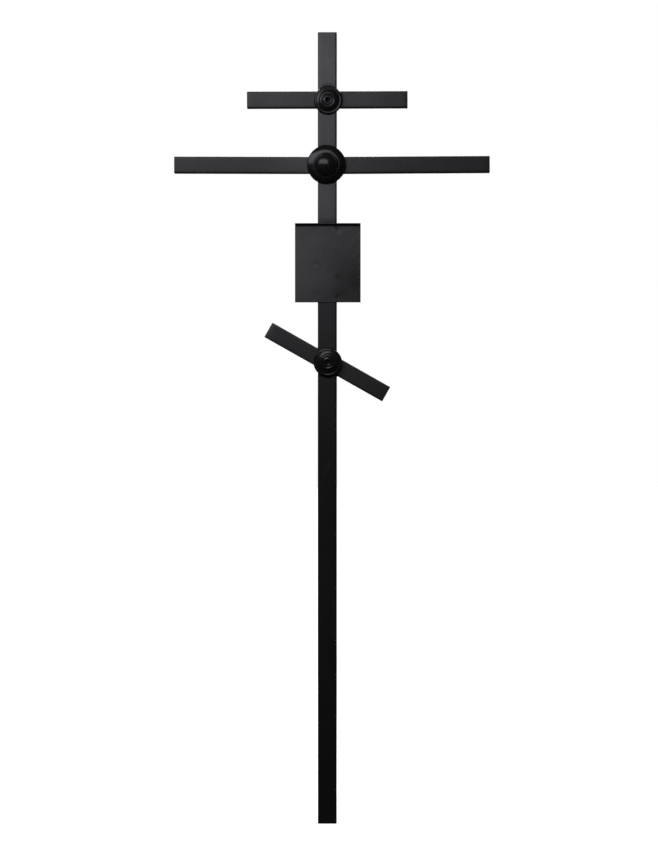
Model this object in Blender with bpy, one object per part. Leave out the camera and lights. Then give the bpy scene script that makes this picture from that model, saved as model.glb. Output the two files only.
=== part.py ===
"""A welded grave cross of square steel tube: a tall post, two level bars and a slanted foot bar, each bar in two
halves butted against the post's sides, three pressed rosettes on the crossings and a bare name plate.

Metres, +Z up. The front faces -Y and the viewer's right is +X. The origin is the centre of the post's foot,
where the cross is cut off level with the ground."""

import math

import bpy
from mathutils import Vector

# The post
POST_HEIGHT = 2.100
POST_SIDE = 0.050
POST_WALL = 0.002
POST_CORNER = 0.0040  # outside radius of the rolled corners

# The bars
BAR_SIDE = 0.044
BAR_WALL = 0.002
BAR_CORNER = 0.0040

# Places down the post, each from the one above it to the middle of what it names
TOP_BAR_BELOW_POST_TOP = 0.1785
MAIN_BAR_BELOW_TOP_BAR = 0.174
PLATE_BELOW_MAIN_BAR = 0.2595
FOOT_BAR_BELOW_PLATE = 0.263

# Each arm's length from the post's axis to its end, and how steeply it climbs towards that end. The level arms
# are out of true by as little as the photograph shows.
TOP_ARM_LENGTH = 0.213
TOP_LEFT_RISE = math.radians(-0.1)
TOP_RIGHT_RISE = math.radians(0.15)
MAIN_LEFT_LENGTH = 0.4065
MAIN_RIGHT_LENGTH = 0.431
MAIN_LEFT_RISE = math.radians(0.2)
MAIN_RIGHT_RISE = math.radians(0.3)
FOOT_ARM_LENGTH = 0.1795
FOOT_SLOPE = math.radians(29.5)
FOOT_ARM_STAGGER = 0.003  # the left half's axis passes this far below the crossing, the right half's above it

# The plates that close the tubes' ends
CAP_THICKNESS = 0.003

# The rosettes, each set off sideways and upwards from its crossing by a little
MAIN_BOSS_DIAMETER = 0.103
MAIN_BOSS_DEPTH = 0.030
MAIN_BOSS_OFFSET = (-0.002, 0.001)
SMALL_ROSETTE_DIAMETER = 0.076
SMALL_ROSETTE_DEPTH = 0.013
TOP_ROSETTE_OFFSET = (0.0025, -0.002)
FOOT_ROSETTE_OFFSET = (0.0015, -0.001)
ROSETTE_SHEET = 0.002

# The name plate, whose height is the whole one, lip and all
PLATE_WIDTH = 0.174
PLATE_HEIGHT = 0.210
PLATE_SHEET = 0.0015
PLATE_SIDEWAYS = 0.0016
LIP_LENGTH = 0.010
LIP_ANGLE = math.radians(65)  # how far the lip is bent forward from upright
LIP_BEND_RADIUS = 0.003  # inside the bend, on the front

# Clearances
WELD_GAP = 0.0003  # between an arm and the post's side
SEAT_GAP = 0.0003  # behind what lies on the front
CAP_GAP = 0.0003  # around a cap inside its tube

# Facets
CORNER_STEPS = 4
ROSETTE_SIDES = 36
DOME_STEPS = 7
BEND_STEPS = 5
SHARP_EDGE = math.radians(32)

SMALLEST_INSIDE_CORNER = 0.0005

# The same places as heights above the ground
TOP_BAR_HEIGHT = POST_HEIGHT - TOP_BAR_BELOW_POST_TOP
MAIN_BAR_HEIGHT = TOP_BAR_HEIGHT - MAIN_BAR_BELOW_TOP_BAR
PLATE_MIDDLE_HEIGHT = MAIN_BAR_HEIGHT - PLATE_BELOW_MAIN_BAR
FOOT_BAR_HEIGHT = PLATE_MIDDLE_HEIGHT - FOOT_BAR_BELOW_PLATE

# A small rosette's face from its middle to its rim, as shares of its radius and of its depth: a dimple in a raised
# button, a groove and a narrow ring around that, two steps down to a second groove, and a low lip
SMALL_FACE = (
    (0.000, 0.560),
    (0.045, 0.650),
    (0.155, 0.945),
    (0.212, 1.000),
    (0.285, 0.960),
    (0.341, 0.900),
    (0.392, 0.948),
    (0.440, 0.971),
    (0.490, 0.875),
    (0.560, 0.822),
    (0.640, 0.660),
    (0.715, 0.560),
    (0.780, 0.508),
    (0.812, 0.476),
    (0.865, 0.510),
    (0.930, 0.475),
    (0.970, 0.360),
    (1.000, 0.110),
)

# The main boss is a dome that rises from a groove, inside a broad ring that slopes away. Shares as above.
BOSS_DOME_RADIUS = 0.61
BOSS_DOME_FOOT = 0.25
BOSS_RING = (
    (0.635, 0.294),
    (0.690, 0.290),
    (0.740, 0.277),
    (0.800, 0.253),
    (0.860, 0.210),
    (0.920, 0.152),
    (0.970, 0.092),
    (1.000, 0.045),
)


def clear_scene():
    for obj in list(bpy.data.objects):
        bpy.data.objects.remove(obj, do_unlink=True)


def paint(name, colour, roughness):
    """Black paint over steel. The coat is what shows, so it isn't metallic."""
    material = bpy.data.materials.new(name)
    material.use_nodes = True
    shader = material.node_tree.nodes["Principled BSDF"]
    shader.inputs["Base Color"].default_value = (*colour, 1)
    shader.inputs["Roughness"].default_value = roughness
    shader.inputs["Metallic"].default_value = 0
    material.diffuse_color = (*colour, 1)
    return material


def add_object(name, points, faces, material):
    mesh = bpy.data.meshes.new(name)
    mesh.from_pydata(points, [], faces)
    mesh.materials.append(material)
    mesh.shade_smooth()
    mesh.set_sharp_from_angle(angle=SHARP_EDGE)
    obj = bpy.data.objects.new(name, mesh)
    bpy.context.scene.collection.objects.link(obj)
    return obj


def rounded_square(side, corner):
    """A square with rounded corners, centred on the origin, as points in order."""
    middle = side / 2 - corner
    points = []
    for quarter, (across, up) in enumerate(((1, 1), (-1, 1), (-1, -1), (1, -1))):
        for step in range(CORNER_STEPS + 1):
            angle = math.pi / 2 * (quarter + step / CORNER_STEPS)
            points.append((across * middle + corner * math.cos(angle), up * middle + corner * math.sin(angle)))
    return points


def inside_of_tube(side, wall, corner, gap=0.0):
    """The outline inside a square tube's wall, drawn in by the gap of what fits there."""
    inside_corner = max(corner - wall, SMALLEST_INSIDE_CORNER)
    return rounded_square(side - 2 * (wall + gap), inside_corner)


def tube(name, side, wall, corner, near, far, mitre, material):
    """A square tube along its own +X. The far end is square. The near end is cut at an angle to fit a sloping
    tube to an upright face, and near is where its axis meets that cut."""
    outer = rounded_square(side, corner)
    inner = inside_of_tube(side, wall, corner)
    count = len(outer)
    points = []
    for outline in (outer, inner):
        points += [(near + up * math.tan(mitre), across, up) for across, up in outline]
        points += [(far, across, up) for across, up in outline]
    faces = []
    for here in range(count):
        after = (here + 1) % count
        near_out, far_out, near_in, far_in = ((here + k * count, after + k * count) for k in range(4))
        faces.append((near_out[1], far_out[1], far_out[0], near_out[0]))
        faces.append((near_in[0], far_in[0], far_in[1], near_in[1]))
        faces.append((far_out[1], far_in[1], far_in[0], far_out[0]))
        faces.append((near_out[0], near_in[0], near_in[1], near_out[1]))
    return add_object(name, points, faces, material)


def cap(name, side, wall, corner, low, high, material, its_tube):
    """A plate that fits inside a tube, between two places along the tube's axis."""
    outline = inside_of_tube(side, wall, corner, CAP_GAP)
    count = len(outline)
    points = [(low, across, up) for across, up in outline] + [(high, across, up) for across, up in outline]
    faces = [tuple(range(count))[::-1], tuple(range(count, 2 * count))]
    for here in range(count):
        after = (here + 1) % count
        faces.append((here, after, after + count, here + count))
    plate = add_object(name, points, faces, material)
    plate.parent = its_tube


def post(material):
    section = (POST_SIDE, POST_WALL, POST_CORNER)
    upright = tube("post", *section, 0, POST_HEIGHT, 0, material)
    upright.rotation_euler = (0, -math.pi / 2, 0)
    cap("post_top_cap", *section, POST_HEIGHT - CAP_THICKNESS, POST_HEIGHT, material, upright)
    cap("post_foot_plate", *section, 0, CAP_THICKNESS, material, upright)


def arm(name, towards_right, height, length, rise, material):
    """One half of a bar: a tube from the post's side out to its end, with a cap in that end."""
    section = (BAR_SIDE, BAR_WALL, BAR_CORNER)
    near = (POST_SIDE / 2 + WELD_GAP) / math.cos(rise)
    half_bar = tube(name, *section, near, length, rise, material)
    half_bar.location.z = height
    half_bar.rotation_euler = (0, -rise, 0 if towards_right else math.pi)
    cap(f"{name}_cap", *section, length - CAP_THICKNESS, length, material, half_bar)


def arms(material):
    arm("top_arm_left", False, TOP_BAR_HEIGHT, TOP_ARM_LENGTH, TOP_LEFT_RISE, material)
    arm("top_arm_right", True, TOP_BAR_HEIGHT, TOP_ARM_LENGTH, TOP_RIGHT_RISE, material)
    arm("main_arm_left", False, MAIN_BAR_HEIGHT, MAIN_LEFT_LENGTH, MAIN_LEFT_RISE, material)
    arm("main_arm_right", True, MAIN_BAR_HEIGHT, MAIN_RIGHT_LENGTH, MAIN_RIGHT_RISE, material)
    lower, upper = FOOT_BAR_HEIGHT - FOOT_ARM_STAGGER, FOOT_BAR_HEIGHT + FOOT_ARM_STAGGER
    arm("foot_arm_left", False, lower, FOOT_ARM_LENGTH, FOOT_SLOPE, material)
    arm("foot_arm_right", True, upper, FOOT_ARM_LENGTH, -FOOT_SLOPE, material)


def boss_face():
    """The main boss's face from its middle to its rim, in the same shares as the small one's."""
    dome = []
    for step in range(DOME_STEPS + 1):
        angle = math.pi / 2 * step / DOME_STEPS
        height = BOSS_DOME_FOOT + (1 - BOSS_DOME_FOOT) * math.cos(angle)
        dome.append((BOSS_DOME_RADIUS * math.sin(angle), height))
    return (*dome, *BOSS_RING)


def distance_to_path(point, path):
    """How near a point comes to a run of straight stretches."""
    nearest = math.inf
    for start, end in zip(path, path[1:]):
        along = end - start
        share = (point - start).dot(along) / along.length_squared
        nearest = min(nearest, (point - start - along * min(max(share, 0), 1)).length)
    return nearest


def pressed_outline(face, radius, depth, sheet):
    """The half section of a sheet pressed to this face: the face out to its rim, the rim, which stands on the
    seat, and the back, which keeps the sheet's thickness from the face."""
    front = [Vector((out * radius, up * depth)) for out, up in face]
    back = [Vector((0, front[0].y - sheet))]
    for before, here, after in zip(front, front[1:], front[2:]):
        along = (after - before).normalized()
        behind = here + sheet * Vector((along.y, -along.x))
        fits = 0 < behind.x < radius - sheet and distance_to_path(behind, front) > 0.97 * sheet
        if fits and behind.x > back[-1].x:
            back.append(Vector((behind.x, max(behind.y, 0))))
    return [*front, Vector((radius, 0)), Vector((radius - sheet, 0)), *reversed(back)]


def turned(name, outline, material):
    """The solid that an outline sweeps as it turns once about +Z. The outline starts and ends on the axis."""
    points = []
    rings = []
    for out, up in outline:
        first = len(points)
        if out == 0:
            points.append((0, 0, up))
            rings.append([first] * ROSETTE_SIDES)
            continue
        for side in range(ROSETTE_SIDES):
            angle = 2 * math.pi * side / ROSETTE_SIDES
            points.append((out * math.cos(angle), out * math.sin(angle), up))
        rings.append(list(range(first, first + ROSETTE_SIDES)))
    faces = []
    for ring, following in zip(rings, rings[1:]):
        for side in range(ROSETTE_SIDES):
            beside = (side + 1) % ROSETTE_SIDES
            corners = (ring[side], following[side], following[beside], ring[beside])
            faces.append(tuple(dict.fromkeys(corners)))
    return add_object(name, points, faces, material)


def rosette(name, face, diameter, depth, height, offset, material):
    """A pressed rosette on the front of a crossing, its rim against whichever tube stands further forward."""
    outline = pressed_outline(face, diameter / 2, depth, ROSETTE_SHEET)
    ornament = turned(name, outline, material)
    sideways, upwards = offset
    front = -max(POST_SIDE, BAR_SIDE) / 2 - SEAT_GAP
    ornament.location = (sideways, front, height + upwards)
    ornament.rotation_euler = (math.pi / 2, 0, 0)


def rosettes(material):
    small = (SMALL_FACE, SMALL_ROSETTE_DIAMETER, SMALL_ROSETTE_DEPTH)
    rosette("top_rosette", *small, TOP_BAR_HEIGHT, TOP_ROSETTE_OFFSET, material)
    rosette("foot_rosette", *small, FOOT_BAR_HEIGHT, FOOT_ROSETTE_OFFSET, material)
    boss = (boss_face(), MAIN_BOSS_DIAMETER, MAIN_BOSS_DEPTH)
    rosette("main_boss", *boss, MAIN_BAR_HEIGHT, MAIN_BOSS_OFFSET, material)


def bent_sheet_section():
    """The name plate's section as points (forward, up) from its back lower corner: up the back, over the bend
    and along the lip, and back down the front."""
    bend_back = LIP_BEND_RADIUS + PLATE_SHEET
    rise = bend_back * math.sin(LIP_ANGLE) + LIP_LENGTH * math.cos(LIP_ANGLE)
    straight = PLATE_HEIGHT - rise
    back = [(0, 0)]
    front = [(PLATE_SHEET, 0)]
    for step in range(BEND_STEPS + 1):
        angle = LIP_ANGLE * step / BEND_STEPS
        for side, radius in ((back, bend_back), (front, LIP_BEND_RADIUS)):
            side.append((bend_back - radius * math.cos(angle), straight + radius * math.sin(angle)))
    for side in (back, front):
        forward, up = side[-1]
        side.append((forward + LIP_LENGTH * math.sin(LIP_ANGLE), up + LIP_LENGTH * math.cos(LIP_ANGLE)))
    return back + front[::-1]


def name_plate(material):
    section = bent_sheet_section()
    count = len(section)
    points = []
    for across in (-PLATE_WIDTH / 2, PLATE_WIDTH / 2):
        points += [(across, -forward, up) for forward, up in section]
    faces = [tuple(range(count))[::-1], tuple(range(count, 2 * count))]
    for here in range(count):
        after = (here + 1) % count
        faces.append((here, after, after + count, here + count))
    plate = add_object("name_plate", points, faces, material)
    foot = PLATE_MIDDLE_HEIGHT - PLATE_HEIGHT / 2
    plate.location = (PLATE_SIDEWAYS, -POST_SIDE / 2 - SEAT_GAP, foot)


def main():
    clear_scene()
    tube_paint = paint("tube_paint", (0.026, 0.026, 0.028), 0.32)
    post(tube_paint)
    arms(tube_paint)
    rosettes(paint("rosette_paint", (0.016, 0.016, 0.017), 0.16))
    name_plate(paint("plate_paint", (0.030, 0.030, 0.032), 0.35))


main()
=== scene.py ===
"""The looks of a welded grave cross of black-painted square steel tube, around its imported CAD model.

Metres, +Z up, in the CAD's own frame: the front faces -Y, the viewer's right is +X, and the origin is the
centre of the post's foot. Every piece is made in place, in world coordinates."""

import math
import random

import bmesh
import bpy
from mathutils import Matrix, Vector, noise


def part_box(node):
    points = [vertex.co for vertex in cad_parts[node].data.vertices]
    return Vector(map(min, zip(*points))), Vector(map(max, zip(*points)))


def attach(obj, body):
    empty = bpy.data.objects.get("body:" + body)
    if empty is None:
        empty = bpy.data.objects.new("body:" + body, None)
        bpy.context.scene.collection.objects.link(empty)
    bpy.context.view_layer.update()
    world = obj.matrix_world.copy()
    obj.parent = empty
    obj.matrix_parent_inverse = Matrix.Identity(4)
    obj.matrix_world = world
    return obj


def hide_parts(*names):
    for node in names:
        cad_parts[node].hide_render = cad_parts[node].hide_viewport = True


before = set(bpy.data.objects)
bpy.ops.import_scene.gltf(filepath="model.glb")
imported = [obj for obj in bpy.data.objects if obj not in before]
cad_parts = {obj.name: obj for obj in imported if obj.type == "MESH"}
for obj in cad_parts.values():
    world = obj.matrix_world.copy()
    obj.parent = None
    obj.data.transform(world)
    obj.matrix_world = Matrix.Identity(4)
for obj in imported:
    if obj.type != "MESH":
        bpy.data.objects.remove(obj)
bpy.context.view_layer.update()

# Sizes that the solids' boxes don't give, as in the part's own source
POST_WALL = 0.002
POST_CORNER = 0.0040
BAR_SIDE = 0.044
BAR_WALL = 0.002
BAR_CORNER = 0.0040
CAP_THICKNESS = 0.003
CAP_GAP = 0.0003
WELD_GAP = 0.0003
FOOT_ARM_STAGGER = 0.003
PLATE_SHEET = 0.0015
LIP_LENGTH = 0.010
LIP_ANGLE = math.radians(65)
LIP_BEND_RADIUS = 0.003
ROSETTE_SHEET = 0.002
SEAT_GAP = 0.0003

TOP_BAR_HEIGHT = 1.9215
MAIN_BAR_HEIGHT = 1.7475
FOOT_BAR_HEIGHT = 1.2250
PLATE_MIDDLE_HEIGHT = 1.488
FOOT_SLOPE = math.radians(29.5)

# Each arm: its name, whether it runs towards the viewer's right, its axis's height where it crosses the
# post's, its length from the post's axis, and how steeply it climbs towards its end
ARMS = (
    ("top_arm_left", False, TOP_BAR_HEIGHT, 0.213, math.radians(-0.1)),
    ("top_arm_right", True, TOP_BAR_HEIGHT, 0.213, math.radians(0.15)),
    ("main_arm_left", False, MAIN_BAR_HEIGHT, 0.4065, math.radians(0.2)),
    ("main_arm_right", True, MAIN_BAR_HEIGHT, 0.431, math.radians(0.3)),
    ("foot_arm_left", False, FOOT_BAR_HEIGHT - FOOT_ARM_STAGGER, 0.1795, FOOT_SLOPE),
    ("foot_arm_right", True, FOOT_BAR_HEIGHT + FOOT_ARM_STAGGER, 0.1795, -FOOT_SLOPE),
)

# A small rosette's face from its middle to its rim, as shares of its radius and of its depth
SMALL_FACE = (
    (0.000, 0.560),
    (0.022, 0.580),
    (0.050, 0.645),
    (0.110, 0.800),
    (0.170, 0.935),
    (0.205, 0.985),
    (0.240, 1.000),
    (0.270, 0.985),
    (0.305, 0.943),
    (0.330, 0.908),
    (0.345, 0.897),
    (0.358, 0.903),
    (0.387, 0.938),
    (0.418, 0.963),
    (0.438, 0.969),
    (0.455, 0.953),
    (0.485, 0.885),
    (0.505, 0.862),
    (0.550, 0.832),
    (0.572, 0.812),
    (0.632, 0.675),
    (0.655, 0.635),
    (0.690, 0.590),
    (0.715, 0.560),
    (0.775, 0.515),
    (0.795, 0.487),
    (0.812, 0.476),
    (0.826, 0.484),
    (0.848, 0.506),
    (0.870, 0.519),
    (0.886, 0.520),
    (0.905, 0.504),
    (0.930, 0.475),
    (0.952, 0.430),
    (0.970, 0.360),
    (0.986, 0.250),
    (1.000, 0.110),
)

# The main boss's dome, and the ring that falls away outside the groove at its foot, as the same shares
BOSS_DOME_RADIUS = 0.61
BOSS_DOME_FOOT = 0.25
BOSS_RING = (
    (0.6115, 0.2680),
    (0.6130, 0.2745),
    (0.6160, 0.2755),
    (0.6400, 0.2741),
    (0.6650, 0.2726),
    (0.6900, 0.2681),
    (0.7150, 0.2597),
    (0.7500, 0.2435),
    (0.7900, 0.2211),
    (0.8300, 0.1939),
    (0.8700, 0.1617),
    (0.9050, 0.1303),
    (0.9400, 0.0968),
    (0.9750, 0.0620),
    (1.0000, 0.0361),
)

# The photograph's frame, in pixels, and where the cross lies in it
FRAME_WIDTH = 658
FRAME_HEIGHT = 841
POST_AXIS_PX = 327.2
POST_TOP_PX = 32.1
POST_FOOT_PX = 823.8

# Fineness of the meshes
CORNER_STEPS = 8
FLAT_STEPS = 5
STATION_SPACING = 0.012
EDGE_ROUNDING = 0.0007
EDGE_STEPS = 3
ROSETTE_SIDES = 192
FACE_STEPS_PER_SPAN = 7
DOME_STEPS = 40
BEAD_SIDES = 10
BEAD_STEP = 0.0009
RIM_STEPS = 24
PLATE_GRID = 0.0022
PLATE_BEND_STEPS = 10
LIP_STEPS = 4

SHARP_EDGE = math.radians(38)
SEED = 7

post_low, post_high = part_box("post")
POST_SIDE = post_high.x - post_low.x
POST_HEIGHT = post_high.z
POST_FRONT = post_low.y


def linked(name, mesh):
    obj = bpy.data.objects.new(name, mesh)
    bpy.context.scene.collection.objects.link(obj)
    return obj


def smooth(mesh):
    mesh.shade_smooth()
    mesh.set_sharp_from_angle(angle=SHARP_EDGE)


def dress(piece, material, slot, *nodes):
    """Gives a finished piece its paint and its place in the body, and hides the nodes that it stands for."""
    piece.data.materials.append(material)
    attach(piece, "root")
    if nodes:
        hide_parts(*nodes)


def loft(name, rings, closed):
    """A skin over rings of equally many points. It closes on its first ring, or its ends get flat faces."""
    count = len(rings[0])
    points = [point for ring in rings for point in ring]
    faces = []
    spans = len(rings) if closed else len(rings) - 1
    for span in range(spans):
        here = span * count
        there = (span + 1) % len(rings) * count
        for side in range(count):
            beside = (side + 1) % count
            faces.append((here + side, here + beside, there + beside, there + side))
    if not closed:
        faces.append(tuple(range(count))[::-1])
        faces.append(tuple(range((len(rings) - 1) * count, len(rings) * count)))
    mesh = bpy.data.meshes.new(name)
    mesh.from_pydata(points, [], faces)
    smooth(mesh)
    return linked(name, mesh)


def rounded_square(side, corner):
    """A square with rounded corners, centred on the origin, as points in order."""
    middle = side / 2 - corner
    quarter_turn = Matrix.Rotation(math.pi / 2, 2)
    points = []
    for quarter, (across, up) in enumerate(((1, 1), (-1, 1), (-1, -1), (1, -1))):
        for step in range(CORNER_STEPS + 1):
            angle = math.pi / 2 * (quarter + step / CORNER_STEPS)
            place = (across * middle + corner * math.cos(angle), up * middle + corner * math.sin(angle))
            points.append(Vector(place))
        start = points[-1]
        end = quarter_turn @ points[-1 - CORNER_STEPS]
        points += [start.lerp(end, step / FLAT_STEPS) for step in range(1, FLAT_STEPS)]
    return points


# The waves in a tube's faces: how high each rises, and how many lie in a metre
FACE_WAVES = ((0.00014, 11), (0.00006, 47))


def wobble(point):
    """How far a painted tube's face strays from flat at a point: two tenths of a millimetre at most."""
    return sum(rise * noise.noise(point * rate) for rise, rate in FACE_WAVES)


def tube_rings(side, wall, corner, near, far, mitre, place):
    """The rings of a square tube along +X: out along its outside, round its end's edge and back inside."""
    rings = []
    stations = max(4, round((far - near) / STATION_SPACING))
    outline = rounded_square(side, corner)
    for station in range(stations + 1):
        share = station / stations
        ring = []
        for across, up in outline:
            start = near + up * math.tan(mitre)
            along = start + (far - EDGE_ROUNDING - start) * share
            out = Vector((0, across, up)).normalized()
            flat = Vector((along, across, up))
            ring.append(place @ (flat + out * wobble(place @ flat)))
        rings.append(ring)
    for step in range(1, EDGE_STEPS + 1):
        angle = math.pi / 2 * step / EDGE_STEPS
        inwards = EDGE_ROUNDING * (1 - math.cos(angle))
        along = far - EDGE_ROUNDING * (1 - math.sin(angle))
        drawn_in = rounded_square(side - 2 * inwards, corner - inwards)
        rings.append([place @ Vector((along, across, up)) for across, up in drawn_in])
    inside = rounded_square(side - 2 * wall, corner - wall)
    rings.append([place @ Vector((far, across, up)) for across, up in inside])
    rings.append([place @ Vector((near + up * math.tan(mitre), across, up)) for across, up in inside])
    return rings


CAP_BROKEN_EDGE = 0.0003


def cap_rings(side, wall, corner, low, high, place):
    """The rings of a plate that fits in a tube, with its outer edge broken, between two places along +X."""
    room = side - 2 * (wall + CAP_GAP)
    rings = []
    for along, inwards in ((low, 0), (high - CAP_BROKEN_EDGE, 0), (high, CAP_BROKEN_EDGE)):
        outline = rounded_square(room - 2 * inwards, corner - wall - inwards)
        rings.append([place @ Vector((along, across, up)) for across, up in outline])
    return rings


def arm_place(towards_right, height, rise):
    """Where an arm's own +X lies: from the post's axis out along the arm."""
    turn = Matrix.Rotation(0 if towards_right else math.pi, 4, "Z")
    return Matrix.Translation((0, 0, height)) @ turn @ Matrix.Rotation(-rise, 4, "Y")


def make_tubes(material, arm_material, foot_arm_material):
    """A finer skin for the post and for each arm, and for the plates in their ends."""
    upright = Matrix.Rotation(-math.pi / 2, 4, "Y")
    section = (POST_SIDE, POST_WALL, POST_CORNER)
    post = loft("post_tube", tube_rings(*section, 0, POST_HEIGHT, 0, upright), True)
    dress(post, material, "tube_paint", "post")
    rings = cap_rings(*section, POST_HEIGHT - CAP_THICKNESS, POST_HEIGHT, upright)
    dress(loft("post_top_plate", rings, False), material, "tube_paint", "post_top_cap")
    bar_section = (BAR_SIDE, BAR_WALL, BAR_CORNER)
    for name, towards_right, height, length, rise in ARMS:
        place = arm_place(towards_right, height, rise)
        near = (POST_SIDE / 2 + WELD_GAP) / math.cos(rise)
        # The foot bar wears a lighter copy of the post's paint as painted light, the other arms a darker
        # copy as painted shade
        paint = foot_arm_material if height < PLATE_MIDDLE_HEIGHT else arm_material
        tube = loft(f"{name}_tube", tube_rings(*bar_section, near, length, rise, place), True)
        dress(tube, paint, "tube_paint", name)
        rings = cap_rings(*bar_section, length - CAP_THICKNESS, length, place)
        dress(loft(f"{name}_end_plate", rings, False), paint, "tube_paint", f"{name}_cap")


def resampled(path, step, closed):
    """The same path with a point every step or so, and back to its start if it is closed."""
    corners = [*path, path[0]] if closed else list(path)
    lengths = [(b - a).length for a, b in zip(corners, corners[1:])]
    count = max(3, round(sum(lengths) / step))
    points = []
    stretch, before = 0, 0.0
    for number in range(count if closed else count + 1):
        wanted = sum(lengths) * number / count
        while stretch < len(lengths) - 1 and before + lengths[stretch] < wanted:
            before += lengths[stretch]
            stretch += 1
        share = (wanted - before) / max(lengths[stretch], 1e-9)
        points.append(corners[stretch].lerp(corners[stretch + 1], min(share, 1)))
    return points


# A weld bead's ripples and lumps: how far apart they come, and what share of its thickness they add
RIPPLE_PITCH = 0.0021
RIPPLE_SHARE = 0.07
LUMPS_PER_METRE = 210
LUMP_SHARE = 0.22
BEAD_TIP = 0.00005


def add_bead(mesh, path, radius, draw, closed=False):
    """Lays one weld bead along a path: a tube whose thickness ripples as the pool did, with rounded ends."""
    points = resampled(path, BEAD_STEP, closed)
    count = len(points)
    pitch = RIPPLE_PITCH * draw.uniform(0.9, 1.15)
    drift = Vector([draw.uniform(-50, 50) for _ in range(3)])
    side = None
    rings = []
    for number, point in enumerate(points):
        ahead = points[(number + 1) % count] if closed else points[min(number + 1, count - 1)]
        behind = points[number - 1] if closed else points[max(number - 1, 0)]
        along = (ahead - behind).normalized()
        if side is None:
            side = along.orthogonal().normalized()
        else:
            side = (side - along * side.dot(along)).normalized()
        up = along.cross(side)
        ripple = RIPPLE_SHARE * math.sin(2 * math.pi * number * BEAD_STEP / pitch)
        lumps = LUMP_SHARE * noise.noise(point * LUMPS_PER_METRE + drift)
        thick = radius * (1 + ripple + lumps)
        if not closed:
            to_end = min(number, count - 1 - number) * BEAD_STEP
            thick *= math.sqrt(min(1, (to_end + BEAD_TIP) / radius))
        ring = []
        for spoke in range(BEAD_SIDES):
            angle = 2 * math.pi * spoke / BEAD_SIDES
            ring.append(mesh.verts.new(point + (side * math.cos(angle) + up * math.sin(angle)) * thick))
        rings.append(ring)
    pairs = list(zip(rings, rings[1:]))
    if closed:
        pairs.append((rings[-1], rings[0]))
    for ring, following in pairs:
        for spoke in range(BEAD_SIDES):
            beside = (spoke + 1) % BEAD_SIDES
            mesh.faces.new((ring[spoke], ring[beside], following[beside], following[spoke]))
    if not closed:
        mesh.faces.new(rings[0][::-1])
        mesh.faces.new(rings[-1])


def add_lump(mesh, centre, radius, draw):
    """A drop of weld spatter that has stuck to a face."""
    squash = Matrix.Diagonal((1, draw.uniform(0.5, 0.75), draw.uniform(0.8, 1.1), 1))
    place = Matrix.Translation(centre) @ squash
    bmesh.ops.create_icosphere(mesh, subdivisions=3, radius=radius, matrix=place)


def welded_piece(name, mesh, material):
    """Turns beads and drops into one dressed piece, which stands for no node of its own."""
    bmesh.ops.recalc_face_normals(mesh, faces=mesh.faces)
    data = bpy.data.meshes.new(name)
    mesh.to_mesh(data)
    mesh.free()
    data.shade_smooth()
    dress(linked(name, data), material, "tube_paint")


ARM_BEAD = 0.0019
SEAM_BEAD = 0.0006
SEAM_SUNK = SEAM_BEAD * 0.6


def make_arm_welds(material):
    """A bead round each arm where it meets the post, and the ground-down seam round each end's plate."""
    draw = random.Random(SEED)
    welds = bmesh.new()
    seams = bmesh.new()
    for name, towards_right, height, length, rise in ARMS:
        place = arm_place(towards_right, height, rise)
        near = (POST_SIDE / 2 + WELD_GAP) / math.cos(rise)
        outline = rounded_square(BAR_SIDE, BAR_CORNER)
        path = [place @ Vector((near + up * math.tan(rise), across, up)) for across, up in outline]
        add_bead(welds, path, ARM_BEAD, draw, closed=True)
        seam = rounded_square(BAR_SIDE - 2 * BAR_WALL - CAP_GAP, BAR_CORNER - BAR_WALL)
        path = [place @ Vector((length - SEAM_SUNK, across, up)) for across, up in seam]
        add_bead(seams, path, SEAM_BEAD, draw, closed=True)
    seam = rounded_square(POST_SIDE - 2 * POST_WALL - CAP_GAP, POST_CORNER - POST_WALL)
    path = [Vector((across, up, POST_HEIGHT - SEAM_SUNK)) for across, up in seam]
    add_bead(seams, path, SEAM_BEAD, draw, closed=True)
    welded_piece("arm_welds", welds, material)
    welded_piece("end_plate_seams", seams, material)


def smooth_face(face):
    """A rosette's face with its corners turned into one smooth curve through them."""
    points = [Vector(point) for point in face]
    on_axis = points[0].x == 0
    mirrored = Vector((-points[1].x, points[1].y)) if on_axis else 2 * points[0] - points[1]
    run = [mirrored, *points, 2 * points[-1] - points[-2]]
    curve = [points[0]]
    for before, start, end, after in zip(run, run[1:], run[2:], run[3:]):
        for step in range(1, FACE_STEPS_PER_SPAN + 1):
            t = step / FACE_STEPS_PER_SPAN
            leaving = (end - before) / 2
            arriving = (after - start) / 2
            curve.append(
                start * (2 * t**3 - 3 * t**2 + 1)
                + leaving * (t**3 - 2 * t**2 + t)
                + end * (3 * t**2 - 2 * t**3)
                + arriving * (t**3 - t**2)
            )
    return curve


def boss_face():
    """The main boss: a dome that rises from a groove, inside a broad round ring."""
    dome = []
    for step in range(DOME_STEPS + 1):
        angle = math.pi / 2 * step / DOME_STEPS
        height = BOSS_DOME_FOOT + (1 - BOSS_DOME_FOOT) * math.cos(angle)
        dome.append(Vector((BOSS_DOME_RADIUS * math.sin(angle), height)))
    groove = Vector((BOSS_DOME_RADIUS, BOSS_DOME_FOOT))
    ring = [point for point in smooth_face((groove, *BOSS_RING)) if point.x > groove.x]
    return dome + ring


def distance_to_path(point, path):
    """How near a point comes to a run of straight stretches."""
    nearest = math.inf
    for start, end in zip(path, path[1:]):
        along = end - start
        share = (point - start).dot(along) / along.length_squared
        nearest = min(nearest, (point - start - along * min(max(share, 0), 1)).length)
    return nearest


# The back of a pressed sheet leaves out points nearer to its face than this share of the sheet
SHEET_KEPT = 0.97


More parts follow.
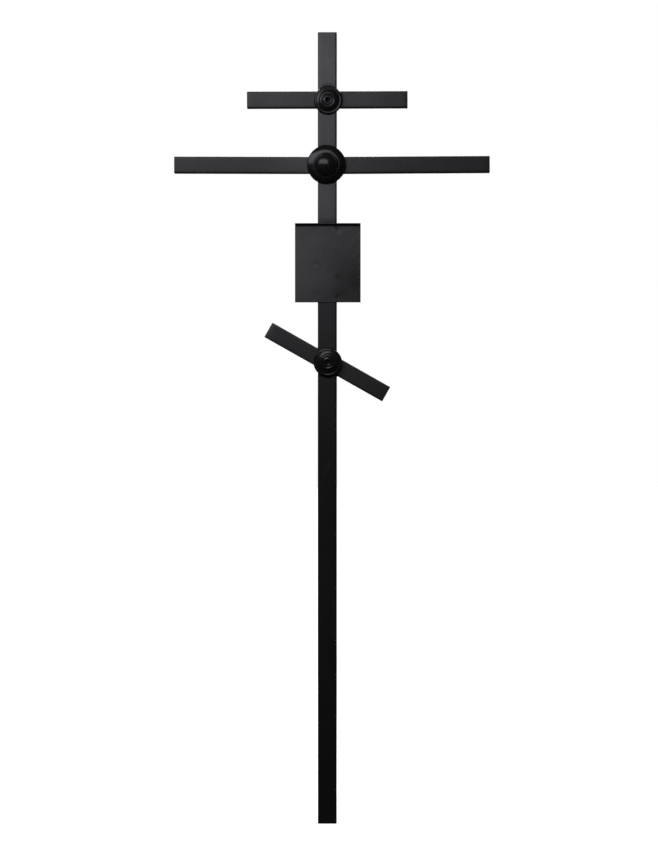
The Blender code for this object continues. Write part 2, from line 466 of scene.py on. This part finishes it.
def pressed_outline(face, radius, depth):
    """The half section of a sheet pressed to this face: the face, the rim it stands on, and the back."""
    front = [Vector((point.x * radius, point.y * depth)) for point in face]
    back = [Vector((0, front[0].y - ROSETTE_SHEET))]
    for before, here, after in zip(front, front[1:], front[2:]):
        along = (after - before).normalized()
        behind = here + ROSETTE_SHEET * Vector((along.y, -along.x))
        inside = back[-1].x < behind.x < radius - ROSETTE_SHEET
        if inside and distance_to_path(behind, front) > SHEET_KEPT * ROSETTE_SHEET:
            back.append(Vector((behind.x, max(behind.y, 0))))
    return [*front, Vector((radius, 0)), Vector((radius - ROSETTE_SHEET, 0)), *reversed(back)]


def turned(name, outline, centre, front):
    """The solid that an outline sweeps as it turns about a line through the centre that points forward."""
    mesh = bmesh.new()
    rings = []
    for out, up in outline:
        if out == 0:
            rings.append([mesh.verts.new((centre.x, front - up, centre.z))] * ROSETTE_SIDES)
            continue
        ring = []
        for side in range(ROSETTE_SIDES):
            angle = 2 * math.pi * side / ROSETTE_SIDES
            place = (centre.x + out * math.cos(angle), front - up, centre.z + out * math.sin(angle))
            ring.append(mesh.verts.new(place))
        rings.append(ring)
    for ring, following in zip(rings, rings[1:]):
        for side in range(ROSETTE_SIDES):
            beside = (side + 1) % ROSETTE_SIDES
            corners = (ring[side], following[side], following[beside], ring[beside])
            mesh.faces.new(tuple(dict.fromkeys(corners)))
    bmesh.ops.recalc_face_normals(mesh, faces=mesh.faces)
    data = bpy.data.meshes.new(name)
    mesh.to_mesh(data)
    mesh.free()
    smooth(data)
    return linked(name, data)


def make_rosettes(top_material, boss_material, foot_material):
    """A smooth pressing in place of each rosette, as wide and as deep as the solid."""
    # The foot rosette wears a lighter copy of the top rosette's paint as painted light
    for node, face, paint in (
        ("top_rosette", smooth_face(SMALL_FACE), top_material),
        ("main_boss", boss_face(), boss_material),
        ("foot_rosette", smooth_face(SMALL_FACE), foot_material),
    ):
        low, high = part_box(node)
        outline = pressed_outline(face, (high.x - low.x) / 2, high.y - low.y)
        piece = turned(f"{node}_pressing", outline, (low + high) / 2, high.y)
        dress(piece, paint, "rosette_paint", node)


RIM_BEAD = 0.0011
RIM_GAP = 0.0004
RIM_BEAD_SHORT = math.radians(3)

# The drops of spatter that show on the bars: sideways, height and radius
DROPS = (
    (0.0658, 1.9386, 0.0016),
    (-0.2737, 1.7316, 0.0014),
    (-0.0720, 1.7316, 0.0018),
    (0.0390, 1.9352, 0.0024),
)

# The finest drops lie on the main bar on both sides of the boss, at most so far from its axis
FINE_DROPS = 16
FINE_DROP_RADII = (0.0004, 0.0009)
FINE_DROPS_BESIDE = (0.040, 0.110)
FINE_DROPS_OFF_AXIS = 0.017


def make_rosette_welds(material):
    """Beads along each rosette's rim where it lies on the post, above and below, and stuck spatter."""
    draw = random.Random(SEED + 1)
    mesh = bmesh.new()
    for node in ("top_rosette", "main_boss", "foot_rosette"):
        low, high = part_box(node)
        centre = (low + high) / 2
        radius = (high.x - low.x) / 2 + RIM_GAP
        reach = math.asin(POST_SIDE / 2 / radius) - RIM_BEAD_SHORT
        for middle in (math.pi / 2, -math.pi / 2):
            path = []
            for step in range(RIM_STEPS + 1):
                angle = middle + reach * (2 * step / RIM_STEPS - 1)
                x = centre.x + radius * math.cos(angle)
                z = centre.z + radius * math.sin(angle)
                path.append(Vector((x, POST_FRONT, z)))
            add_bead(mesh, path, RIM_BEAD, draw)
    for x, z, radius in DROPS:
        add_lump(mesh, Vector((x, -BAR_SIDE / 2, z)), radius, draw)
    for _ in range(FINE_DROPS):
        beside = draw.choice((-1, 1)) * draw.uniform(*FINE_DROPS_BESIDE)
        height = MAIN_BAR_HEIGHT + draw.uniform(-FINE_DROPS_OFF_AXIS, FINE_DROPS_OFF_AXIS)
        add_lump(mesh, Vector((beside, -BAR_SIDE / 2, height)), draw.uniform(*FINE_DROP_RADII), draw)
    welded_piece("rosette_welds", mesh, material)


# Where a weld behind the name plate has drawn its sheet in: sideways, height, radius and depth
DIMPLES = (
    (0.0290, 1.5750, 0.0075, 0.0008),
    (0.0330, 1.4520, 0.0100, 0.0003),
    (0.0300, 1.3990, 0.0090, 0.0004),
    (-0.0310, 1.4850, 0.0080, 0.0005),
    (-0.0310, 1.4010, 0.0110, 0.0005),
    (0.0650, 1.4150, 0.0450, 0.0007),
)


# The sheet's own buckles: how deep each wave is, how many lie in a metre, and where its noise is cut
BUCKLES = ((0.0007, 13, 3.1), (0.0002, 45, 8.3))

# The post holds the sheet flat this far sideways, and leaves it free that much further out
HELD_FLAT = 0.0205
FREE_WITHIN = 0.009


def plate_depth(x, z):
    """How far the plate's sheet lies behind flat at a place on it: weld dimples and a gentle buckle, which
    the post's front holds flat."""
    depth = 0.0
    for centre_x, centre_z, radius, deep in DIMPLES:
        apart = math.hypot(x - centre_x, z - centre_z) / radius
        depth += deep * math.exp(-apart * apart)
    buckle = sum(deep * noise.noise(Vector((x * rate, cut, z * rate))) for deep, rate, cut in BUCKLES)
    sunk = depth + buckle
    beyond_post = min(max((abs(x) - HELD_FLAT) / FREE_WITHIN, 0), 1)
    free = beyond_post * beyond_post * (3 - 2 * beyond_post)
    return free * sunk + (1 - free) * min(sunk, SEAT_GAP)


def plate_section(height):
    """The plate's front as (forward, up, way it faces), from its lower edge to the edge of its lip."""
    bend_back = LIP_BEND_RADIUS + PLATE_SHEET
    rise = bend_back * math.sin(LIP_ANGLE) + LIP_LENGTH * math.cos(LIP_ANGLE)
    straight = height - rise
    rows = round(straight / PLATE_GRID)
    section = [(PLATE_SHEET, straight * row / rows, 0.0) for row in range(rows)]
    for step in range(PLATE_BEND_STEPS + 1):
        angle = LIP_ANGLE * step / PLATE_BEND_STEPS
        forward = bend_back - LIP_BEND_RADIUS * math.cos(angle)
        section.append((forward, straight + LIP_BEND_RADIUS * math.sin(angle), angle))
    forward, up, angle = section[-1]
    for step in range(1, LIP_STEPS + 1):
        along = LIP_LENGTH * step / LIP_STEPS
        section.append((forward + along * math.sin(angle), up + along * math.cos(angle), angle))
    return section


BUCKLE_FADE = 1.2
PLATE_EDGE = 0.0003


def make_name_plate(material):
    """The bare sheet with its bent lip. Its buckles fade out over the bend."""
    low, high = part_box("name_plate")
    section = plate_section(high.z - low.z)
    columns = round((high.x - low.x) / PLATE_GRID)
    rings = []
    for column in range(columns + 1):
        x = low.x + (high.x - low.x) * column / columns
        front, back = [], []
        for forward, up, angle in section:
            sunk = plate_depth(x, low.z + up) * max(0, math.cos(angle * BUCKLE_FADE))
            y = high.y - forward + sunk
            front.append(Vector((x, y, low.z + up)))
            behind = y + PLATE_SHEET * math.cos(angle)
            above = low.z + up + PLATE_SHEET * math.sin(angle)
            back.append(Vector((x, behind, above)))
        rings.append(front + back[::-1])
    piece = loft("name_plate_sheet", rings, False)
    bevel = piece.modifiers.new("edge", "BEVEL")
    bevel.width = PLATE_EDGE
    bevel.segments = 2
    bevel.limit_method = "ANGLE"
    bevel.angle_limit = math.radians(60)
    dress(piece, material, "plate_paint", "name_plate")


PLATE_BEAD = 0.0018
PLATE_BEAD_GAP = 0.0004
PLATE_BEAD_BEHIND = PLATE_BEAD * 1.2


def make_plate_welds(material):
    """Short beads behind the plate, in the corner between its back and the post's sides."""
    draw = random.Random(SEED + 2)
    mesh = bmesh.new()
    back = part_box("name_plate")[1].y
    for x, z, _, _ in DIMPLES:
        side = math.copysign(POST_SIDE / 2 + PLATE_BEAD_GAP, x)
        half = draw.uniform(0.006, 0.009)
        path = [Vector((side, back + PLATE_BEAD_BEHIND, z + half * step)) for step in (-1, -0.5, 0, 0.5, 1)]
        add_bead(mesh, path, PLATE_BEAD, draw)
    welded_piece("plate_welds", mesh, material)


def node_of(tree, kind, **values):
    """A new node with some of its settings and inputs set. An underscore stands for a space in a name."""
    node = tree.nodes.new(kind)
    for name, value in values.items():
        if hasattr(node, name):
            setattr(node, name, value)
        else:
            node.inputs[name.replace("_", " ")].default_value = value
    return node


def clouds(tree, place, scale, detail, middle, swing):
    """Soft noise over the surface, stretched to run so far below and above its middle value."""
    texture = node_of(tree, "ShaderNodeTexNoise", Scale=scale, Detail=detail, Roughness=0.5)
    spread = node_of(tree, "ShaderNodeMapRange", From_Min=0.3, From_Max=0.7)
    spread.inputs["To Min"].default_value = middle - swing
    spread.inputs["To Max"].default_value = middle + swing
    tree.links.new(place, texture.inputs["Vector"])
    tree.links.new(texture.outputs["Fac"], spread.inputs["Value"])
    return spread.outputs["Result"]


# The patches that this mask lays on the paint are mostly painted light and painted shade
def soft_patch(tree, place, centre, radii, turn):
    """One at a place on the surface, smoothly nothing at its radii, turned about the view's axis."""
    around = node_of(tree, "ShaderNodeMapping", vector_type="TEXTURE")
    around.inputs["Location"].default_value = centre
    around.inputs["Rotation"].default_value = (0, turn, 0)
    around.inputs["Scale"].default_value = radii
    apart = node_of(tree, "ShaderNodeVectorMath", operation="LENGTH")
    fade = node_of(tree, "ShaderNodeMapRange", interpolation_type="SMOOTHSTEP", To_Min=1.0, To_Max=0.0)
    tree.links.new(place, around.inputs["Vector"])
    tree.links.new(around.outputs["Vector"], apart.inputs[0])
    tree.links.new(apart.outputs["Value"], fade.inputs["Value"])
    return fade.outputs["Result"]


def added(tree, base, extra, share):
    """The base value with a share of another added to it."""
    total = node_of(tree, "ShaderNodeMath", operation="MULTIPLY_ADD")
    total.inputs[1].default_value = share
    tree.links.new(extra, total.inputs[0])
    tree.links.new(base, total.inputs[2])
    return total.outputs["Value"]


# The two ends of the paint's tone. The lighter end stands for dust in the random drift, and for painted
# light in the lighter patches below
DARKEST = (0.004, 0.004, 0.0042, 1)
LIGHTEST_DUST_AND_PAINTED_LIGHT = (0.050, 0.050, 0.052, 1)

# How far the paint's tone and roughness drift over the surface, and what its streaks add to them
TONE_DRIFT = 0.06
ROUGHNESS_DRIFT = 0.03
STREAK_TONE = 0.035
STREAK_ROUGHNESS = 0.02

# Which way a paint's grain runs
ALONG_POST = (1, 1, 0.03)
ALONG_BARS = (0.03, 1, 1)
EVEN = (1, 1, 1)

# How many times as deep as the orange peel the broader waves are
WAVE_DEPTH = 4


def black_paint(name, tone, roughness, peel, mirroring, grain, light_and_shade_patches):
    """Black enamel over steel: a tone and a gloss that drift over the surface, a fine orange peel, broader
    waves from the spray, a grain along the drawn tube, and soft patches of painted light and painted shade
    and a few smudges, laid on its tone and its roughness."""
    material = bpy.data.materials.new(name)
    material.use_nodes = True
    tree = material.node_tree
    shader = tree.nodes["Principled BSDF"]
    place = tree.nodes.new("ShaderNodeTexCoord").outputs["Object"]
    along = node_of(tree, "ShaderNodeMapping")
    along.inputs["Scale"].default_value = grain
    tree.links.new(place, along.inputs["Vector"])
    streaks = clouds(tree, along.outputs["Vector"], scale=160, detail=3, middle=0, swing=1)

    shade = clouds(tree, place, scale=9, detail=4, middle=tone, swing=TONE_DRIFT)
    shade = added(tree, shade, streaks, STREAK_TONE)
    gloss = clouds(tree, place, scale=14, detail=5, middle=roughness, swing=ROUGHNESS_DRIFT)
    gloss = added(tree, gloss, streaks, STREAK_ROUGHNESS)
    # Each patch shifts the tone and the roughness by its shares. Most of them are painted light and painted
    # shade
    for centre, radii, turn, lighter, rougher in light_and_shade_patches:
        spot = soft_patch(tree, place, centre, radii, turn)
        shade = added(tree, shade, spot, lighter)
        gloss = added(tree, gloss, spot, rougher)
    colour = node_of(tree, "ShaderNodeMix", data_type="RGBA")
    colour.inputs["A"].default_value = DARKEST
    colour.inputs["B"].default_value = LIGHTEST_DUST_AND_PAINTED_LIGHT
    tree.links.new(shade, colour.inputs["Factor"])
    tree.links.new(colour.outputs["Result"], shader.inputs["Base Color"])
    tree.links.new(gloss, shader.inputs["Roughness"])
    shader.inputs["Specular IOR Level"].default_value = mirroring

    fine = node_of(tree, "ShaderNodeBump", Strength=1.0, Distance=peel)
    pits = clouds(tree, place, scale=520, detail=2, middle=0.5, swing=0.5)
    tree.links.new(pits, fine.inputs["Height"])
    broad = node_of(tree, "ShaderNodeBump", Strength=1.0, Distance=peel * WAVE_DEPTH)
    waves = clouds(tree, place, scale=60, detail=3, middle=0.5, swing=0.5)
    tree.links.new(waves, broad.inputs["Height"])
    tree.links.new(fine.outputs["Normal"], broad.inputs["Normal"])
    tree.links.new(broad.outputs["Normal"], shader.inputs["Normal"])
    return material


# Patches on the paint, mostly painted light and painted shade: middle, radii, turn about the view's axis,
# how much lighter and how much rougher
POST_PAINTED_LIGHT_SHADE_AND_SMUDGES = (
    # Painted light over a broad patch above the plate; painted shade in a strip just above the plate's lip,
    # down the post's right-hand edge and over its lower middle; a darker band at the top rosette's upper
    # rim; two small light smudges
    ((0.0, -0.025, 1.640), (0.09, 0.09, 0.150), 0.0, 0.50, 0.0),
    ((0.0, -0.025, 1.594), (0.08, 0.03, 0.020), 0.0, -0.55, -0.16),
    ((0.0255, -0.025, 1.050), (0.0056, 0.008, 6.0), 0.0, -0.50, -0.28),
    ((0.0, -0.025, 0.950), (0.10, 0.09, 0.360), 0.0, -0.16, 0.0),
    ((0.0, -0.025, 1.958), (0.026, 0.03, 0.013), 0.0, -0.40, 0.10),
    ((-0.004, -0.025, 0.938), (0.010, 0.02, 0.030), 0.4, 0.22, 0.05),
    ((0.006, -0.025, 0.955), (0.006, 0.02, 0.012), -0.5, 0.20, 0.05),
)
ARM_PAINTED_LIGHT_SHADE_AND_MARK = (
    # Painted light on the main bar beside the boss, stronger on the left; a small darker, glossier mark on
    # the right arm; painted shade towards the left arm's end
    ((-0.060, -0.022, 1.7475), (0.130, 0.06, 0.09), 0.0, 0.34, 0.0),
    ((0.060, -0.022, 1.7475), (0.100, 0.06, 0.09), 0.0, 0.16, 0.0),
    ((0.193, -0.022, 1.7530), (0.018, 0.02, 0.0045), 0.9, -0.30, -0.12),
    ((-0.375, -0.022, 1.7475), (0.060, 0.06, 0.05), 0.0, -0.06, 0.0),
)
FOOT_ARM_PAINTED_LIGHT_AND_SHADE = (
    # Painted light at the foot bar's raised left end, painted shade at its lowered right end
    ((-0.160, -0.022, 1.3150), (0.030, 0.06, 0.050), 0.0, 0.45, 0.02),
    ((0.155, -0.022, 1.1330), (0.050, 0.06, 0.060), 0.0, -0.16, -0.03),
)
PLATE_PAINTED_LIGHT_SHADE_AND_SPOT = (
    # Painted light over the plate's left half and near its top, painted shade over its right half, small
    # painted shade and highlights beside the weld dimples, and a small darker spot high on the left
    ((-0.085, -0.027, 1.460), (0.130, 0.06, 0.155), 0.0, 0.66, 0.02),
    ((0.095, -0.027, 1.430), (0.100, 0.06, 0.150), 0.0, -0.30, -0.07),
    ((0.075, -0.027, 1.440), (0.060, 0.06, 0.030), 0.0, -0.10, -0.03),
    ((-0.020, -0.027, 1.560), (0.070, 0.06, 0.030), -0.3, 0.14, 0.0),
    ((0.0220, -0.027, 1.5825), (0.0055, 0.02, 0.0075), 0.2, -0.45, -0.24),
    ((0.0270, -0.027, 1.5770), (0.0080, 0.02, 0.0040), 0.7, -0.20, -0.10),
    ((0.0324, -0.027, 1.5706), (0.0050, 0.02, 0.0050), 0.0, 0.35, 0.04),
    ((0.0245, -0.027, 1.4540), (0.0070, 0.02, 0.0080), 0.0, -0.14, -0.04),
    ((0.0315, -0.027, 1.4485), (0.0180, 0.02, 0.0090), 0.30, -0.30, -0.10),
    ((0.0245, -0.027, 1.3985), (0.0060, 0.02, 0.0130), 0.2, -0.34, -0.13),
    ((0.0380, -0.027, 1.4060), (0.0240, 0.02, 0.0300), 0.0, -0.18, -0.05),
    ((-0.0231, -0.027, 1.4875), (0.0190, 0.02, 0.0032), 0.63, -0.25, -0.11),
    ((-0.0297, -0.027, 1.4770), (0.0045, 0.02, 0.0045), 0.0, 0.25, 0.03),
    ((-0.0841, -0.027, 1.5800), (0.0030, 0.02, 0.0070), 0.0, -0.40, -0.22),
)

# The depth of the orange peel on sprayed tube and sheet, on the small rosettes and on the polished boss
TUBE_PEEL = 0.00001
ROSETTE_PEEL = 0.000008
BOSS_PEEL = 0.000006

# Each paint: its tone between the darkest and the lightest black, its roughness, the depth of its orange
# peel, how strongly it mirrors, the way its grain runs, and its patches of painted light and shade. The
# arms' paint is a darker, less mirroring copy of the post's, as painted shade; the foot bar's and the
# plate's are lighter, more mirroring copies, as painted light, and so is the foot rosette's copy of the top
# rosette's paint.
PAINTS = {
    "tube_paint": (0.30, 0.53, TUBE_PEEL, 0.50, ALONG_POST, POST_PAINTED_LIGHT_SHADE_AND_SMUDGES),
    "arm_paint_painted_shade": (0.21, 0.53, TUBE_PEEL, 0.34, ALONG_BARS, ARM_PAINTED_LIGHT_SHADE_AND_MARK),
    "foot_arm_paint_painted_light": (0.34, 0.55, TUBE_PEEL, 0.70, EVEN, FOOT_ARM_PAINTED_LIGHT_AND_SHADE),
    "boss_paint": (0.00, 0.20, BOSS_PEEL, 0.22, EVEN, ()),
    "rosette_paint": (0.06, 0.22, ROSETTE_PEEL, 0.19, EVEN, ()),
    "foot_rosette_paint_painted_light": (0.12, 0.27, ROSETTE_PEEL, 0.36, EVEN, ()),
    "plate_paint": (0.36, 0.53, TUBE_PEEL, 0.62, EVEN, PLATE_PAINTED_LIGHT_SHADE_AND_SPOT),
}


FLOOR_REACH = 60
FLOOR_DROP = 0.0005


def make_floor():
    """A plain pale floor that runs on far past the view, a hair below the post's foot."""
    mesh = bpy.data.meshes.new("floor")
    corners = [(x * FLOOR_REACH, y * FLOOR_REACH, 0) for x, y in ((-1, -1), (1, -1), (1, 1), (-1, 1))]
    mesh.from_pydata(corners, [], [(0, 1, 2, 3)])
    floor = linked("floor", mesh)
    floor.location.z = -FLOOR_DROP
    material = bpy.data.materials.new("floor_white")
    material.use_nodes = True
    shader = material.node_tree.nodes["Principled BSDF"]
    shader.inputs["Base Color"].default_value = (0.9, 0.9, 0.9, 1)
    shader.inputs["Roughness"].default_value = 0.9
    shader.inputs["Emission Color"].default_value = (1, 1, 1, 1)
    shader.inputs["Emission Strength"].default_value = 1.0
    mesh.materials.append(material)
    floor.visible_glossy = False
    floor.visible_diffuse = False


def softbox(name, place, target, width, height, power, tint=(1, 1, 1)):
    """A rectangular lamp aimed at a target, which no camera sees."""
    light = bpy.data.lights.new(name, "AREA")
    light.shape = "RECTANGLE"
    light.size = width
    light.size_y = height
    light.energy = power
    light.color = tint
    lamp = linked(name, light)
    lamp.location = place
    lamp.rotation_euler = (Vector(target) - Vector(place)).to_track_quat("-Z", "Y").to_euler()
    lamp.visible_camera = False
    return lamp


KEY_DISTANCE = 1.03
KEY_SIDEWAYS = math.radians(-27)
KEY_UPWARDS = math.radians(25)
KEY_AIM = (0, 0, 2.10)
KEY_TINT = (0.99, 0.98, 1.06)


def make_lights():
    """A softbox close by at the viewer's left, whose light fades down the post, one high up behind, and one
    on the right that brings out the right-hand sides and leaves no glint."""
    boss_low, boss_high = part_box("main_boss")
    boss = (boss_low + boss_high) / 2
    flat = math.cos(KEY_UPWARDS)
    towards = Vector((math.sin(KEY_SIDEWAYS) * flat, -math.cos(KEY_SIDEWAYS) * flat, math.sin(KEY_UPWARDS)))
    key_place = boss + KEY_DISTANCE * towards
    softbox("high_behind", (-1.1, 3.4, 4.4), (0, 0, 1.3), width=3.2, height=1.8, power=150)
    beside = softbox("right_behind", (2.9, 1.4, 1.3), (0, 0, 1.1), width=1.6, height=2.6, power=140)
    beside.visible_glossy = False
    softbox("key", key_place, KEY_AIM, width=1.33, height=0.62, power=10.7, tint=KEY_TINT)


def ramp(tree, value, low, high):
    """Rises from nothing to one while a value goes from low to high."""
    rise = node_of(tree, "ShaderNodeMapRange", From_Min=low, From_Max=high, To_Min=0.0, To_Max=1.0)
    tree.links.new(value, rise.inputs["Value"])
    return rise.outputs["Result"]


def make_surroundings():
    """White behind the cross, and a dim room for its paint to mirror, lit softly from high at the back."""
    world = bpy.data.worlds.new("studio")
    world.use_nodes = True
    tree = world.node_tree
    tree.nodes.clear()
    output = tree.nodes.new("ShaderNodeOutputWorld")
    seen = node_of(tree, "ShaderNodeBackground", Strength=1.0)
    seen.inputs["Color"].default_value = (1, 1, 1, 1)
    room = node_of(tree, "ShaderNodeBackground", Strength=1.0)
    direction = tree.nodes.new("ShaderNodeTexCoord").outputs["Generated"]
    parts = tree.nodes.new("ShaderNodeSeparateXYZ")
    tree.links.new(direction, parts.inputs[0])

    front = node_of(tree, "ShaderNodeMix", data_type="RGBA")
    front.inputs["A"].default_value = (0.035, 0.035, 0.033, 1)
    front.inputs["B"].default_value = (0.08, 0.08, 0.085, 1)
    tree.links.new(ramp(tree, parts.outputs["Z"], -0.3, 0.6), front.inputs["Factor"])

    both = node_of(tree, "ShaderNodeMath", operation="MULTIPLY")
    back = node_of(tree, "ShaderNodeMix", data_type="RGBA")
    back.inputs["B"].default_value = (0.9, 0.9, 0.93, 1)
    tree.links.new(ramp(tree, parts.outputs["Z"], 0.2, 0.7), both.inputs[0])
    tree.links.new(ramp(tree, parts.outputs["Y"], -0.1, 0.5), both.inputs[1])
    tree.links.new(both.outputs["Value"], back.inputs["Factor"])
    tree.links.new(front.outputs["Result"], back.inputs["A"])
    tree.links.new(back.outputs["Result"], room.inputs["Color"])

    whose = tree.nodes.new("ShaderNodeLightPath").outputs["Is Camera Ray"]
    either = tree.nodes.new("ShaderNodeMixShader")
    tree.links.new(whose, either.inputs[0])
    tree.links.new(room.outputs[0], either.inputs[1])
    tree.links.new(seen.outputs[0], either.inputs[2])
    tree.links.new(either.outputs[0], output.inputs["Surface"])
    bpy.context.scene.world = world


CAMERA_DISTANCE = 12.0
CAMERA_SIDEWAYS = 0.20
SENSOR = 36.0


def make_camera():
    """A long lens level with the frame's middle. The scale is that of the post's front, which fills the
    photograph's pixels from POST_TOP_PX down to POST_FOOT_PX."""
    metres_per_pixel = POST_HEIGHT / (POST_FOOT_PX - POST_TOP_PX)
    middle_x = (FRAME_WIDTH / 2 - POST_AXIS_PX) * metres_per_pixel
    middle_z = (POST_FOOT_PX - FRAME_HEIGHT / 2) * metres_per_pixel
    target = Vector((middle_x, POST_FRONT, middle_z))
    camera = bpy.data.cameras.new("camera")
    camera.sensor_width = SENSOR
    camera.lens = SENSOR * CAMERA_DISTANCE / (FRAME_HEIGHT * metres_per_pixel)
    camera.clip_end = 200
    seat = linked("camera", camera)
    seat.location = (CAMERA_SIDEWAYS, POST_FRONT - CAMERA_DISTANCE, middle_z)
    seat.rotation_euler = (target - seat.location).to_track_quat("-Z", "Y").to_euler()
    bpy.context.scene.camera = seat


def main():
    paint = {name: black_paint(name, *look) for name, look in PAINTS.items()}
    make_tubes(paint["tube_paint"], paint["arm_paint_painted_shade"], paint["foot_arm_paint_painted_light"])
    foot_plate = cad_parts["post_foot_plate"].data
    foot_plate.materials.clear()
    foot_plate.materials.append(paint["tube_paint"])
    make_arm_welds(paint["tube_paint"])
    make_rosettes(paint["rosette_paint"], paint["boss_paint"], paint["foot_rosette_paint_painted_light"])
    make_rosette_welds(paint["rosette_paint"])
    make_name_plate(paint["plate_paint"])
    make_plate_welds(paint["tube_paint"])
    make_floor()
    make_lights()
    make_surroundings()
    make_camera()
    bpy.context.scene.view_settings.view_transform = "Standard"


main()
